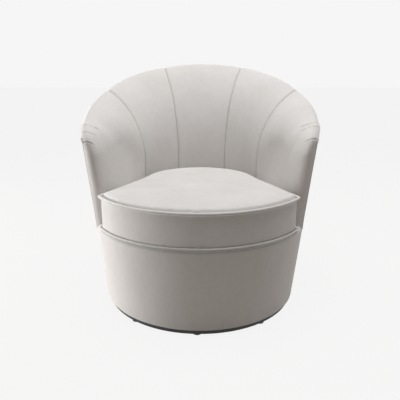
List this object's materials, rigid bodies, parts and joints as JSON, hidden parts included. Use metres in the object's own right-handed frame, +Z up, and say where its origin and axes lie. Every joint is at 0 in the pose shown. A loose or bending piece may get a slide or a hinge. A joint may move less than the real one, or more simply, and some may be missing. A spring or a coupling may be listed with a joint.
{
  "type": "swivel tub chair",
  "caption": "Upholstered tub chair with a wrap-around sloping back, a loose piped seat cushion and a round drum that turns on a recessed plinth.",
  "frame": {"origin": "on the floor, under the middle of the chair's overall box", "axes": "+Z up, +Y towards the back of the chair, +X to the sitter's left"},
  "size_m": [0.7428, 0.7292, 0.756],
  "materials": {
    "upholstery": "matte",
    "foam": "matte",
    "lining": "matte",
    "timber": "matte",
    "fibreboard": "matte",
    "steel": "satin",
    "plinth_black": "satin",
    "glide_plastic": "matte"
  },
  "bodies": {
    "base": {"plinth": "plinth_black", "glides": "glide_plastic", "glide_nails": "steel", "swivel_lower_plate": "steel", "lower_plate_screws": "steel"},
    "bearing": {"ball_cage": "steel", "bearing_balls": "steel"},
    "chair": {"apron_board": "fibreboard", "apron_cover": "upholstery", "apron_wadding": "foam", "back_post_1": "timber", "back_post_2": "timber", "back_post_3": "timber", "back_post_4": "timber", "back_post_5": "timber", "base_board": "timber", "centre_back_inside": "upholstery", "deck_cloth": "lining", "deck_pad": "foam", "deck_ring": "timber", "drum_post_1": "timber", "drum_post_2": "timber", "drum_post_3": "timber", "drum_post_4": "timber", "drum_post_5": "timber", "drum_post_6": "timber", "dust_cover": "lining", "frame_screws": "steel", "front_edge_pad": "foam", "inner_back_board": "fibreboard", "inner_back_foam": "foam", "left_arm_facing": "upholstery", "left_arm_inside": "upholstery", "left_arm_post": "timber", "left_back_inside": "upholstery", "outer_back_board": "fibreboard", "outer_back_wadding": "foam", "outside_back_cover": "upholstery", "right_arm_facing": "upholstery", "right_arm_inside": "upholstery", "right_arm_post": "timber", "right_back_inside": "upholstery", "rim_hoop": "timber", "seat_spring_1": "steel", "seat_spring_2": "steel", "seat_spring_3": "steel", "seat_spring_4": "steel", "seat_spring_5": "steel", "spring_clips": "steel", "swivel_upper_plate": "steel", "upper_plate_screws": "steel"},
    "cushion": {"cushion_foam": "foam", "cushion_top_panel": "upholstery", "cushion_border": "upholstery", "cushion_bottom_panel": "upholstery", "cushion_top_welt": "upholstery", "cushion_bottom_welt": "upholstery"}
  },
  "joints": [
    {"name": "swivel", "type": "hinge", "parent": "base", "child": "chair", "pos_m": [0, -0.02422, 0.03], "axis": [0, 0, 1], "continuous": true},
    {"name": "cage_turn", "type": "hinge", "parent": "base", "child": "bearing", "pos_m": [0, -0.02422, 0.03], "axis": [0, 0, 1], "continuous": true},
    {"name": "cushion_lift", "type": "slide", "parent": "chair", "child": "cushion", "axis": [0, 0, 1], "range_m": [0, 0.42]}
  ],
  "couplings": [
    {"joint": "cage_turn", "follows": "swivel", "ratio": 0.5}
  ]
}
